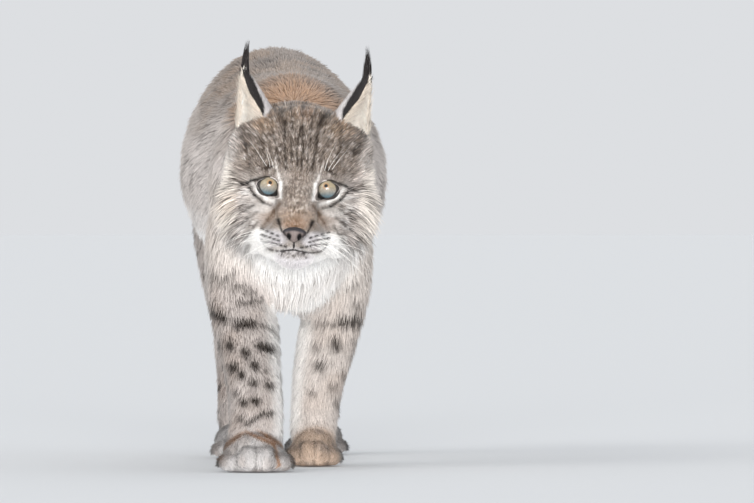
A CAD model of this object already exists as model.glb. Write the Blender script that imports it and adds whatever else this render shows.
"""Looks of a still, life-size Eurasian lynx: skin, coat, ears, eyes, nose, whiskers, floor, light and camera."""

import math
from itertools import product

import bmesh
import bpy
import numpy as np
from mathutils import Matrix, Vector
from mathutils.bvhtree import BVHTree


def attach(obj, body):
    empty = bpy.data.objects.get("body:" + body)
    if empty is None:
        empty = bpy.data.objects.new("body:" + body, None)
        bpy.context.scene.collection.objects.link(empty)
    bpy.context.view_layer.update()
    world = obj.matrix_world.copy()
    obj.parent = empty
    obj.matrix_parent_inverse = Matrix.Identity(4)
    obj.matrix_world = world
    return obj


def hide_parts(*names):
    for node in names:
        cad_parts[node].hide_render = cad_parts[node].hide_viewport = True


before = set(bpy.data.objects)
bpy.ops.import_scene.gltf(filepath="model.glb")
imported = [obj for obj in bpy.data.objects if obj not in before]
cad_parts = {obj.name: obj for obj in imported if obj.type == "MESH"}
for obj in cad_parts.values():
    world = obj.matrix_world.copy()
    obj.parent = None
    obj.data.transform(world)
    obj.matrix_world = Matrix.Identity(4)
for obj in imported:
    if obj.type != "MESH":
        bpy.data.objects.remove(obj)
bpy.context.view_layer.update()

# Place of the animal: the point of the floor under its nose.
UNDER_NOSE = np.array((0.0045, -0.4398, 0.0))

# Trunk from throat to rump: centre, half width, rise above it and drop below it.
TRUNK = [
    (0.000, 0.095, 0.330, 0.060, 0.056, 0.066),
    (0.000, 0.150, 0.328, 0.080, 0.082, 0.108),
    (0.000, 0.200, 0.322, 0.084, 0.108, 0.142),
    (0.000, 0.255, 0.320, 0.090, 0.126, 0.150),
    (-0.001, 0.330, 0.324, 0.108, 0.122, 0.142),
    (-0.004, 0.430, 0.328, 0.119, 0.124, 0.124),
    (-0.007, 0.535, 0.342, 0.115, 0.126, 0.108),
    (-0.009, 0.630, 0.358, 0.102, 0.125, 0.098),
    (-0.009, 0.715, 0.368, 0.082, 0.105, 0.086),
    (-0.008, 0.770, 0.374, 0.058, 0.076, 0.068),
]
# Shoulders and haunches: centre, half sizes and pitch, on both sides.
TRUNK_MASSES = [
    ((0.056, 0.250, 0.312), (0.042, 0.078, 0.105), 14),
    ((0.050, 0.668, 0.338), (0.052, 0.092, 0.104), -12),
]
# Legs from the body down to the wrist or heel: centre, half width, half depth behind and before.
LEGS = {
    "foreleg_right": [
        (-0.056, 0.238, 0.320, 0.034, 0.050, 0.050),
        (-0.064, 0.224, 0.262, 0.036, 0.056, 0.050),
        (-0.060, 0.210, 0.206, 0.041, 0.046, 0.041),
        (-0.053, 0.166, 0.150, 0.038, 0.035, 0.034),
        (-0.047, 0.118, 0.098, 0.033, 0.030, 0.030),
        (-0.045, 0.088, 0.058, 0.032, 0.028, 0.027),
        (-0.047, 0.072, 0.034, 0.032, 0.024, 0.024),
    ],
    "foreleg_left": [
        (0.054, 0.250, 0.320, 0.034, 0.050, 0.050),
        (0.058, 0.260, 0.262, 0.035, 0.054, 0.048),
        (0.051, 0.280, 0.206, 0.041, 0.046, 0.041),
        (0.041, 0.286, 0.148, 0.037, 0.034, 0.034),
        (0.031, 0.290, 0.098, 0.032, 0.030, 0.030),
        (0.026, 0.288, 0.062, 0.029, 0.027, 0.026),
        (0.024, 0.280, 0.034, 0.028, 0.024, 0.024),
    ],
    "hindleg_right": [
        (-0.052, 0.668, 0.370, 0.036, 0.064, 0.064),
        (-0.062, 0.628, 0.312, 0.042, 0.080, 0.070),
        (-0.068, 0.594, 0.258, 0.038, 0.064, 0.052),
        (-0.066, 0.602, 0.212, 0.032, 0.046, 0.040),
        (-0.060, 0.638, 0.170, 0.027, 0.032, 0.031),
        (-0.056, 0.660, 0.130, 0.025, 0.026, 0.028),
        (-0.053, 0.634, 0.082, 0.025, 0.024, 0.025),
        (-0.051, 0.608, 0.042, 0.028, 0.024, 0.024),
    ],
    "hindleg_left": [
        (0.052, 0.676, 0.370, 0.036, 0.064, 0.064),
        (0.062, 0.650, 0.312, 0.042, 0.076, 0.070),
        (0.066, 0.638, 0.256, 0.038, 0.060, 0.054),
        (0.062, 0.666, 0.212, 0.032, 0.044, 0.042),
        (0.054, 0.714, 0.178, 0.027, 0.031, 0.031),
        (0.049, 0.748, 0.144, 0.025, 0.026, 0.028),
        (0.046, 0.744, 0.092, 0.025, 0.024, 0.025),
        (0.044, 0.734, 0.046, 0.028, 0.024, 0.024),
    ],
}
# Paws: place on the floor, half width, half length, height and turn.
PAWS = {
    "forepaw_right": ((-0.048, 0.052), 0.044, 0.051, 0.048, 4),
    "forepaw_left": ((0.024, 0.262), 0.034, 0.046, 0.048, -4),
    "hindpaw_right": ((-0.050, 0.580), 0.038, 0.050, 0.044, 6),
    "hindpaw_left": ((0.043, 0.710), 0.038, 0.050, 0.044, -6),
}
TOES = 4
# Balls of a paw of half width, half length and height one: centre and half sizes of the pad and of the
# sole before it, and how high the middle toes are and how much lower the outer ones.
PAD = ((0.0, 0.17, 0.42), (0.80, 0.84, 0.60))
SOLE = ((0.0, -0.20, 0.16), (0.74, 0.70, 0.34))
TOE_HEIGHT = (0.42, 0.14)
TAIL = [
    (0.000, 0.752, 0.420, 0.028, 0.026, 0.030),
    (0.000, 0.798, 0.414, 0.030, 0.028, 0.030),
    (0.000, 0.830, 0.388, 0.031, 0.030, 0.030),
    (0.000, 0.845, 0.350, 0.031, 0.031, 0.030),
    (0.000, 0.851, 0.312, 0.029, 0.029, 0.029),
    (0.000, 0.853, 0.286, 0.021, 0.021, 0.021),
]

# The head's own frame has its origin midway between the eyes and looks along -Y.
HEAD_PLACE = np.array((0.0, 0.060, 0.312))
HEAD_ROLL = math.radians(3.3)
HEAD_YAW = math.radians(-3.0)
# Masses of the head: centre, half sizes and pitch, those off the middle on both sides.
HEAD_MASSES = [
    ((0.000, 0.064, 0.041), (0.068, 0.062, 0.053), 0),
    ((0.000, 0.036, 0.006), (0.060, 0.041, 0.064), -14),
    ((0.044, 0.048, -0.014), (0.045, 0.040, 0.044), 0),
    ((0.038, 0.042, -0.042), (0.040, 0.038, 0.034), 0),
    ((0.000, 0.028, -0.054), (0.048, 0.048, 0.034), 0),
    ((0.000, -0.008, -0.054), (0.035, 0.034, 0.023), 0),
    ((0.016, -0.028, -0.059), (0.0195, 0.0165, 0.0145), 0),
    ((0.000, -0.013, -0.022), (0.0245, 0.0165, 0.042), -40),
    ((0.000, -0.015, -0.077), (0.025, 0.019, 0.014), 0),
    ((0.027, 0.019, 0.021), (0.029, 0.018, 0.016), 0),
    ((0.031, 0.024, -0.042), (0.033, 0.030, 0.028), 0),
    ((0.040, 0.030, -0.012), (0.034, 0.024, 0.026), 0),
    ((0.050, 0.068, 0.038), (0.031, 0.033, 0.034), 0),
    ((0.046, 0.056, 0.016), (0.038, 0.038, 0.042), 0),
    ((0.000, 0.098, 0.014), (0.068, 0.046, 0.066), 0),
]
EYE_SPREAD = 0.0322
EYE_DEPTH = 0.0135
EYE_RADIUS = 0.0145
# The eye looks a little up and in.
GAZE = np.array((-0.095, -0.955, 0.265))
IRIS_ANGLE = math.radians(72)
PUPIL_ANGLE = math.radians(7.5)
# Opening of the lids: its half height, and how far its inner and outer corner reach past that.
LID_OPENING = 0.0097
INNER_CORNER = 0.0052
OUTER_CORNER = 0.0030
MOUTH = [(0.0, -0.0678), (0.0100, -0.0694), (0.0210, -0.0690), (0.0310, -0.0650), (0.0380, -0.0585)]
PHILTRUM_TOP = -0.0570
NOSE_PLACE = np.array((0.0, -0.0455, -0.0515))
NOSE_HALF = np.array((0.0128, 0.0070, 0.0076))
NOSE_PITCH = math.radians(-18)
NOSTRIL_SPREAD = 0.0062
MUZZLE_ROOT = np.array((0.0, -0.050, -0.046))

# Ears in the head's frame: foot, tip, radius and thickness of the cup, way it opens, and the tip of the tuft.
EAR_BASE = np.array((0.0530, 0.0640, 0.062))
EAR_TIP = np.array((0.0725, 0.0760, 0.132))
EAR_RADIUS = 0.0335
EAR_WALL = 0.0024
EAR_OPENS = math.radians(62)
EAR_ROOT = 0.30
TUFT_TIP = np.array((0.0660, 0.0810, 0.162))

SKIN_VOXEL = 0.0042
BAKE_PATCH = 0.003
# How far a tuft faces its own way; the rest is the way of the skin under it, which keeps the coat soft.
OWN_FACING = 0.9
FLOOR_CLEARANCE = 0.0012
SEED = 11


def tone(red, green, blue):
    """A colour given by its everyday 0 to 255 values, as linear light."""
    share = np.array((red, green, blue)) / 255.0
    return np.where(share <= 0.04045, share / 12.92, ((share + 0.055) / 1.055) ** 2.4)


CREAM = tone(240, 231, 221)
WHITE = tone(253, 252, 250)
MUZZLE = tone(220, 216, 220)
PALE_GREY = tone(220, 211, 206)
GREY = tone(172, 160, 151)
TAUPE = tone(146, 127, 112)
TAN = tone(184, 152, 126)
SAND = tone(172, 150, 134)
DARK = tone(80, 66, 57)
BROWN = tone(78, 60, 46)
BLACK = tone(30, 25, 24)
RUST = tone(178, 134, 100)
OCHRE = tone(194, 156, 118)
LEG_GREY = tone(205, 195, 190)
LEG_PINK = tone(197, 179, 168)


def turn_matrix(axis, angle):
    """Rotation about X, Y or Z by an angle, as a 3 by 3 array."""
    c, s = math.cos(angle), math.sin(angle)
    a, b = [(1, 2), (2, 0), (0, 1)]["XYZ".index(axis)]
    made = np.eye(3)
    made[a, a], made[a, b], made[b, a], made[b, b] = c, -s, s, c
    return made


HEAD_TURN = turn_matrix("Y", HEAD_ROLL) @ turn_matrix("Z", HEAD_YAW)


def from_head(points):
    return points @ HEAD_TURN.T + HEAD_PLACE


def to_head(points):
    return (points - HEAD_PLACE) @ HEAD_TURN


def unit(vectors):
    return vectors / np.maximum(np.linalg.norm(vectors, axis=-1, keepdims=True), 1e-9)


def step(low, high, value):
    """A smooth rise from 0 at low to 1 at high."""
    share = np.clip((value - low) / (high - low), 0, 1)
    return share * share * (3 - 2 * share)


def lattice(corner, seed):
    """A fixed random value between 0 and 1 for each whole-numbered corner."""
    x, y, z = (corner[:, k].astype(np.int64) for k in range(3))
    mixed = (x * 73856093) ^ (y * 19349663) ^ (z * 83492791) ^ (seed * 2654435)
    mixed = ((mixed ^ (mixed >> 13)) * 1274126177) & 0xFFFFFFFF
    return ((mixed ^ (mixed >> 16)) & 0xFFFF) / 65535.0


def noise(points, size, seed=0):
    """Soft random patches of the given size: lattice values blended across each cube by a smooth rise."""
    cell = points / np.asarray(size)
    base = np.floor(cell)
    f = cell - base
    f = f * f * (3 - 2 * f)
    total = np.zeros(len(points))
    for corner in product((0, 1), repeat=3):
        at = np.array(corner)
        weight = np.prod(np.where(at, f, 1 - f), axis=1)
        total += weight * lattice(base + at, seed)
    return total


def smooth_rows(stations, count):
    """Rows on a Catmull-Rom curve through the stations, evenly spaced in the stations' own count."""
    rows = np.array(stations, float)
    rows = np.vstack([2 * rows[0] - rows[1], rows, 2 * rows[-1] - rows[-2]])
    at = np.linspace(0, len(rows) - 3 - 1e-9, count)
    index = at.astype(int)
    t = (at - index)[:, None]
    a, b, c, d = (rows[index + k] for k in range(4))
    return 0.5 * (2 * b + (c - a) * t + (2 * a - 5 * b + 4 * c - d) * t**2 + (3 * b - a - 3 * c + d) * t**3)


def grid_faces(rows, sides, closed=True, start=0):
    """Four-sided faces of a grid of rows of points, joined round each row where it is closed."""
    k, j = np.meshgrid(np.arange(rows - 1), np.arange(sides if closed else sides - 1), indexing="ij")
    i = (j + 1) % sides
    return start + np.stack([k * sides + j, k * sides + i, (k + 1) * sides + i, (k + 1) * sides + j], -1).reshape(-1, 4)


def capped_tube(grid, first, last):
    """Points and faces of a tube given as a grid of rings, closed by a point at each end."""
    rows, sides = grid.shape[:2]
    points = np.vstack([grid.reshape(-1, 3), first[None], last[None]])
    j = np.arange(sides)
    i, end = (j + 1) % sides, (rows - 1) * sides
    caps = np.vstack([
        np.stack([np.full(sides, rows * sides), i, j], -1),
        np.stack([np.full(sides, rows * sides + 1), end + j, end + i], -1),
    ])
    return points, [*grid_faces(rows, sides).tolist(), *caps.tolist()]


def egg_tube(stations, rings, sides=28):
    """Rings set square to the smooth line of the stations, wide by cos and high by sin with a different
    rise and drop, and drawn in to a dome at each end."""
    rows = smooth_rows(stations, rings)
    centre, size = rows[:, :3], rows[:, 3:]
    ahead = unit(np.gradient(centre, axis=0))
    side = unit(np.array((1.0, 0.0, 0.0)) - ahead * ahead[:, :1])
    up = np.cross(side, ahead)
    index = np.r_[0, 0, np.arange(rings), rings - 1, rings - 1]
    share = np.r_[0.56, 0.7525, np.ones(rings), 0.7525, 0.56]
    push = np.r_[[-0.36 * size[0].min(), -0.108 * size[0].min()], np.zeros(rings),
                 [0.108 * size[-1].min(), 0.36 * size[-1].min()]]
    turn = np.arange(sides) * 2 * math.pi / sides
    high = np.where(np.sin(turn) >= 0, size[index, 1:2], size[index, 2:3]) * np.sin(turn)
    wide = size[index, :1] * np.cos(turn)
    middle = centre[index] + ahead[index] * push[:, None]
    grid = middle[:, None] + share[:, None, None] * (
        wide[..., None] * side[index][:, None] + high[..., None] * up[index][:, None]
    )
    first = centre[0] - ahead[0] * size[0].min() * 0.55
    last = centre[-1] + ahead[-1] * size[-1].min() * 0.55
    return capped_tube(grid, first, last)


def ball(centre, half, pitch=0.0, turn=0.0, rings=18, sides=28):
    """Sphere of latitude v and longitude u, stretched to its half sizes, pitched about X and turned about Z."""
    v = np.linspace(0, math.pi, rings + 2)[1:-1, None]
    u = np.arange(sides)[None] * 2 * math.pi / sides
    grid = np.stack([np.sin(v) * np.cos(u), np.sin(v) * np.sin(u), np.cos(v) * np.ones_like(u)], -1)
    place = turn_matrix("Z", turn) @ turn_matrix("X", math.radians(pitch)) @ np.diag(half)
    poles = np.array(((0, 0, 1.0), (0, 0, -1.0))) @ place.T + centre
    return capped_tube(grid @ place.T + centre, *poles)


def both_sides(table):
    return [
        ball((c[0] * side, c[1], c[2]), half, pitch)
        for c, half, pitch in table
        for side in ((1, -1) if c[0] else (1,))
    ]


def paw_balls(paw):
    """The pad and sole of a broad paw and its toes in an arc before them."""
    (x, y), width, length, height, turn = PAWS[paw]
    size = np.array((width, length, height))
    place = turn_matrix("Z", math.radians(turn))
    made = [ball(size * centre, size * half) for centre, half in (PAD, SOLE)]
    for spread in np.linspace(-1, 1, TOES):
        high = height * (TOE_HEIGHT[0] - TOE_HEIGHT[1] * spread**2)
        centre = np.array((width * 0.67 * spread, -length * (0.62 - 0.26 * spread**2), high * 0.74))
        made.append(ball(centre, (width * 0.33, length * 0.46, high), turn=-0.28 * spread))
    return [(points @ place.T + (x, y, 0), faces) for points, faces in made]


def joined(parts):
    """Points and faces of several shapes as one list."""
    start, points, faces = 0, [], []
    for part_points, part_faces in parts:
        points.append(part_points)
        faces.extend([tuple(i + start for i in face) for face in part_faces])
        start += len(part_points)
    return np.vstack(points), faces


def surface(name, points, faces):
    """A mesh object from arrays, set in the animal's place with its object at the origin."""
    mesh = bpy.data.meshes.new(name)
    mesh.from_pydata((points + UNDER_NOSE).tolist(), [], faces if isinstance(faces, list) else faces.tolist())
    mesh.update()
    made = bpy.data.objects.new(name, mesh)
    bpy.context.scene.collection.objects.link(made)
    return made


def finished(item, material, slot, *nodes):
    """Gives a piece its material and slot, lets it ride on the body and stand for its nodes."""
    item.data.materials.clear()
    item.data.materials.append(material)
    item.data.shade_smooth()
    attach(item, "root")
    if nodes:
        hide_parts(*nodes)
    return item


def settle(item):
    """Applies an object's modifiers."""
    shown = item.evaluated_get(bpy.context.evaluated_depsgraph_get())
    mesh = bpy.data.meshes.new_from_object(shown)
    item.modifiers.clear()
    old, item.data = item.data, mesh
    bpy.data.meshes.remove(old)
    mesh.name = item.name
    return item


def face_outwards(item):
    work = bmesh.new()
    work.from_mesh(item.data)
    bmesh.ops.recalc_face_normals(work, faces=work.faces)
    work.to_mesh(item.data)
    work.free()


def points_of(item):
    made = np.empty(3 * len(item.data.vertices))
    item.data.vertices.foreach_get("co", made)
    return made.reshape(-1, 3) - UNDER_NOSE


def move_points(item, points):
    item.data.vertices.foreach_set("co", (points + UNDER_NOSE).ravel())
    item.data.update()


def normals_of(item):
    made = np.empty(3 * len(item.data.vertices))
    item.data.vertex_normals.foreach_get("vector", made)
    return made.reshape(-1, 3)


def paint(item, colours):
    """Stores a colour at every point of a mesh."""
    layer = item.data.attributes.new("coat_colour", "FLOAT_COLOR", "POINT")
    layer.data.foreach_set("color", np.column_stack([colours, np.ones(len(colours))]).ravel())


# Where a point lies on the body.

LIMBS = {"trunk": TRUNK, **LEGS, "tail": TAIL}
LIMB_ROWS = {name: smooth_rows(stations, 48) for name, stations in LIMBS.items()}
LEG_NAMES = list(LEGS)


def along_limb(points, name):
    """Share of the way along a limb's line, and the distance from it in ring sizes."""
    rows = LIMB_ROWS[name]
    away = np.linalg.norm(points[:, None] - rows[None, :, :3], axis=2) / rows[None, :, 3:].mean(axis=2)
    nearest = away.argmin(axis=1)
    return nearest / (len(rows) - 1), away[np.arange(len(points)), nearest]


def from_masses(points, masses):
    """Distance from the nearest of some ellipsoids, in their own sizes."""
    folded = points * (1, 1, 1)
    folded[:, 0] = np.abs(folded[:, 0])
    away = [np.linalg.norm((folded - c) / np.array(half), axis=1) for c, half, _ in masses]
    return np.min(away, axis=0)


def parts_at(points):
    """Weights of head, trunk, tail, each leg and each paw at points of the skin, one where a part is alone."""
    q = to_head(points)
    away = {"head": from_masses(q, HEAD_MASSES) - 0.75 * step(0.125, 0.085, q[:, 1])}
    along = {}
    for name in LIMBS:
        along[name], away[name] = along_limb(points, name)
    away["trunk"] = np.minimum(away["trunk"], from_masses(points, TRUNK_MASSES))
    for paw, ((x, y), width, length, height, _) in PAWS.items():
        away[paw] = np.linalg.norm((points - (x, y, height * 0.4)) / (width, length, height * 0.62), axis=1)
    names = list(away)
    weight = np.exp(-9 * np.stack([away[name] for name in names], 1))
    weight /= weight.sum(axis=1, keepdims=True)
    return {name: weight[:, k] for k, name in enumerate(names)}, along


def eye_away(head_points, side):
    """Distance from an eye's middle and the angle round it, seen from the front."""
    x = (head_points[:, 0] * side) - EYE_SPREAD
    return np.hypot(x, head_points[:, 2]), np.arctan2(head_points[:, 2], x)


def lid_reach(angle):
    """Half size of the eye's opening at an angle: round, with a long inner corner that points down to the
    nose and a short outer one that points a little up."""
    inner = np.exp(-(((angle - math.radians(-134) + math.pi) % (2 * math.pi) - math.pi) / 0.30) ** 2)
    outer = np.exp(-(((angle - math.radians(12) + math.pi) % (2 * math.pi) - math.pi) / 0.42) ** 2)
    round_part = LID_OPENING * (1 - 0.09 * np.maximum(np.sin(angle), 0) ** 2)
    return round_part + INNER_CORNER * inner + OUTER_CORNER * outer


def eye_gap(head_points):
    """Distance outside the rim of the nearer eye's opening, for points of the front of the face."""
    gaps = []
    for side in (1, -1):
        away, angle = eye_away(head_points, side)
        gaps.append(away - lid_reach(angle))
    return np.where(head_points[:, 1] < 0.035, np.minimum(*gaps), 1.0)


def mouth_gap(head_points):
    """Distance from the line of the mouth, seen from the front."""
    line = smooth_rows(MOUTH, 24)
    x = np.abs(head_points[:, 0])
    away = np.hypot(x[:, None] - line[None, :, 0], head_points[:, 2:3] - line[None, :, 1]).min(axis=1)
    return np.where(head_points[:, 1] < 0.02, away, 1.0)


def hair_length(points, normals, weights, along):
    """Length of the hair: short on the nose, face and feet, long on cheeks, chest, belly and flanks."""
    q = to_head(points)
    across = np.abs(q[:, 0])
    from_nose = np.linalg.norm(q - MUZZLE_ROOT, axis=1)
    face = 0.0030 + 0.0034 * step(0.030, 0.150, from_nose)
    cheek = step(0.044, 0.068, across) * step(0.035, -0.020, q[:, 2])
    jaw = step(-0.073, -0.090, q[:, 2]) * step(-0.062, -0.015, q[:, 1])
    crown = step(0.060, 0.100, q[:, 2]) * step(0.02, 0.08, q[:, 1])
    head = face + 0.0235 * cheek + 0.009 * jaw * (1 - cheek) + 0.003 * crown
    from_ear = np.linalg.norm(np.abs(q) - EAR_BASE, axis=1)
    head += 0.0065 * step(0.044, 0.034, from_ear)
    head = np.where(eye_gap(q) < 0.008, np.minimum(head, 0.0042), head)
    under = step(-0.15, -0.75, normals[:, 2])
    chest = step(0.24, 0.14, points[:, 1]) * step(0.30, 0.24, points[:, 2])
    rump = step(0.69, 0.76, points[:, 1])
    trunk = (0.021 + 0.009 * under + 0.003 * chest) * (1 - 0.45 * rump)
    total = weights["head"] * head + weights["trunk"] * trunk + weights["tail"] * 0.022
    for name in LEG_NAMES:
        total += weights[name] * (0.021 - 0.010 * along[name])
    for name in PAWS:
        total += weights[name] * 0.0095
    return total


def hair_width(length):
    """Width of a tuft of a given length, finest where the hair is short."""
    return np.clip(0.00040 + 0.054 * length, 0.00060, 0.0017)


def hair_lift(points, weights):
    """Angle in degrees at which the hair stands off the skin: low on face and body, higher on the ruff."""
    q = to_head(points)
    ruff = step(0.048, 0.066, np.abs(q[:, 0])) * step(0.020, -0.020, q[:, 2]) * step(0.015, 0.040, q[:, 1])
    from_ear = np.linalg.norm(np.abs(q) - EAR_BASE, axis=1)
    stand = 17 + 22 * ruff + 10 * step(0.044, 0.034, from_ear)
    return 17 + (stand - 17) * weights["head"] - 8 * step(0.30, 0.22, points[:, 1]) * weights["trunk"]


def coat_depth(length):
    """How far the skin lies inside the outline that the coat gives."""
    return 0.37 * length


def lie(points, normals, weights, along):
    """The way that the hair points: back from the nose on the head, down and back on the body, down the legs,
    towards the toes on the paws and along the tail."""
    q = to_head(points)
    head = unit(q - MUZZLE_ROOT)
    head[:, 1] += 1.3 * step(0.015, 0.075, q[:, 2])
    head[:, 2] -= 0.85 * step(0.035, 0.075, np.abs(q[:, 0])) * step(0.035, -0.02, q[:, 2])
    head[:, 2] -= 1.1 * step(-0.062, -0.080, q[:, 2])
    for side in (1, -1):
        away, angle = eye_away(q, side)
        near = step(0.030, 0.014, away)[:, None] * (q[:, 1:2] < 0.04)
        outward = np.stack([np.cos(angle) * side, np.zeros(len(q)), np.sin(angle)], 1)
        head = head * (1 - 0.75 * near) + outward * 0.75 * near
    head = head @ HEAD_TURN.T
    across = np.abs(normals[:, 0])
    front = step(0.23, 0.15, points[:, 1])
    rear = step(0.68, 0.75, points[:, 1]) * step(0.15, 0.65, normals[:, 1])
    trunk = np.stack([
        0.10 * np.sign(points[:, 0]) * across,
        0.95 - 0.80 * front - 0.90 * rear,
        -0.10 - 0.50 * across - 0.95 * front - 1.30 * rear,
    ], 1)
    total = weights["head"][:, None] * head + weights["trunk"][:, None] * unit(trunk)
    for name in (*LEG_NAMES, "tail"):
        rows = LIMB_ROWS[name]
        ahead = unit(np.gradient(rows[:, :3], axis=0))
        total += weights[name][:, None] * ahead[(along[name] * (len(rows) - 1)).astype(int)]
    for name in PAWS:
        total += weights[name][:, None] * unit(np.array((0.0, -0.92, -0.38)))
    total -= normals * (total * normals).sum(axis=1, keepdims=True)
    return unit(total)


# Markings, the same for skin and coat.


def stroke(x, z, start, end, width):
    """Mask of a soft line from start to end, seen from the front."""
    (ax, az), (bx, bz) = start, end
    reach = max((bx - ax) ** 2 + (bz - az) ** 2, 1e-9)
    t = np.clip(((x - ax) * (bx - ax) + (z - az) * (bz - az)) / reach, 0, 1)
    away = np.hypot(x - ax - t * (bx - ax), z - az - t * (bz - az))
    return np.exp(-((away / width) ** 2))


def patch(x, z, centre, half, soft=0.35):
    """Mask of a soft-edged oval."""
    return step(1 + soft, 1 - soft, np.hypot((x - centre[0]) / half[0], (z - centre[1]) / half[1]))


def over(colour, mask, new):
    return colour * (1 - mask[:, None]) + new * mask[:, None]


# Strokes of the face in millimetres across and up from between the eyes: start, end, half width and strength.
DARK_STROKES = [
    ((14, 20), (16, 34), 1.7, 0.75),
    ((16, 37), (18, 52), 1.9, 0.90),
    ((17.5, 55), (17.5, 68), 2.1, 0.90),
    ((18, 70), (23, 82), 2.8, 0.80),
    ((24, 75), (28, 84), 4.2, 0.50),
    ((2.0, 20), (3.5, 43), 1.5, 0.75),
    ((3.0, 47), (0.5, 68), 1.8, 0.75),
    ((8.6, 23), (9, 40), 1.4, 0.60),
    ((9.5, 45), (11, 62), 1.6, 0.60),
    ((10, 66), (11, 78), 1.8, 0.55),
    ((0, 80), (1, 94), 2.4, 0.60),
    ((13, 84), (15, 96), 2.2, 0.50),
    ((22, 26), (26, 44), 1.5, 0.50),
    ((28, 48), (33, 66), 1.7, 0.45),
    ((38, 32), (45, 50), 1.6, 0.40),
    ((59, 43), (65, 60), 5.5, 0.60),
    ((31, 22), (38.5, 18), 2.6, 0.85),
    ((62, 0.5), (69, 6), 1.6, 0.75),
    ((69, 6), (73, 15), 1.4, 0.50),
    ((46, -21), (62, -31), 1.5, 0.60),
    ((56, -21), (72, -30), 1.5, 0.55),
    ((44, -30), (60, -44), 1.5, 0.55),
    ((60, -36), (72, -44), 1.7, 0.60),
    ((42, -40), (54, -58), 1.5, 0.45),
    ((64, -46), (70, -60), 2.4, 0.50),
    ((50, -66), (57, -84), 2.8, 0.36),
    ((43, -76), (48, -92), 2.8, 0.26),
    ((59, -58), (64, -72), 2.4, 0.60),
    ((72, 4), (80, -14), 2.4, 0.45),
]
WHITE_STROKES = [
    ((27, 30), (22.5, 14), 1.1, 0.32),
    ((22.5, 14), (19.5, 5), 1.3, 0.55),
    ((19, 5), (18, -12), 1.9, 0.85),
    ((50, 2), (44, -7.5), 2.0, 0.62),
    ((44, -7.5), (34, -14), 2.0, 0.66),
    ((34, -14), (25, -16.5), 2.0, 0.58),
    ((48, -13), (58, -6), 2.2, 0.35),
]
BLACK_STROKES = [
    ((43, 8), (53, 4.5), 1.6, 0.97),
    ((53, 4.5), (63, 0), 1.5, 0.95),
    ((56, 0.5), (47, -10.5), 1.6, 0.95),
    ((47, -10.5), (37, -18), 1.6, 0.88),
    ((37, -18), (28, -21), 1.5, 0.60),
    ((18.3, -36.5), (17.4, -39.5), 2.5, 1.00),
    ((17, -41), (13.8, -49), 1.1, 0.90),
]
# Dark hair along the lips and under them, broken up by the hair's own gaps.
LIP_STROKES = [
    ((9, -69.2), (15, -69.9), 1.1, 0.85),
    ((17, -70.2), (21.5, -70.0), 1.3, 0.80),
    ((20, -67.2), (24, -66.6), 1.0, 0.50),
    ((23, -69.6), (26.4, -68.4), 1.4, 0.90),
    ((28.4, -67.4), (30.6, -66.0), 1.4, 0.85),
    ((32.4, -64.4), (34, -62.8), 1.2, 0.60),
    ((34.6, -61.6), (36.4, -59.4), 1.0, 0.40),
    ((11.4, -71.0), (14.2, -76.0), 1.1, 0.80),
    ((3, -72.6), (9, -73.4), 1.1, 0.45),
]
# Rows of whisker spots on the muzzle: the inner and the outer end in millimetres, and their number.
WHISKER_ROWS = [((18.0, -54.0), (36.0, -47.5), 4), ((17.0, -59.0), (36.0, -53.5), 5), ((9.0, -65.0), (34.0, -59.5), 6)]


def whisker_spots():
    """Places of the whisker spots on one side of the muzzle, across and up, in metres."""
    rows = [np.linspace(start, end, count) for start, end, count in WHISKER_ROWS]
    return np.vstack(rows) / 1000


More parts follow.
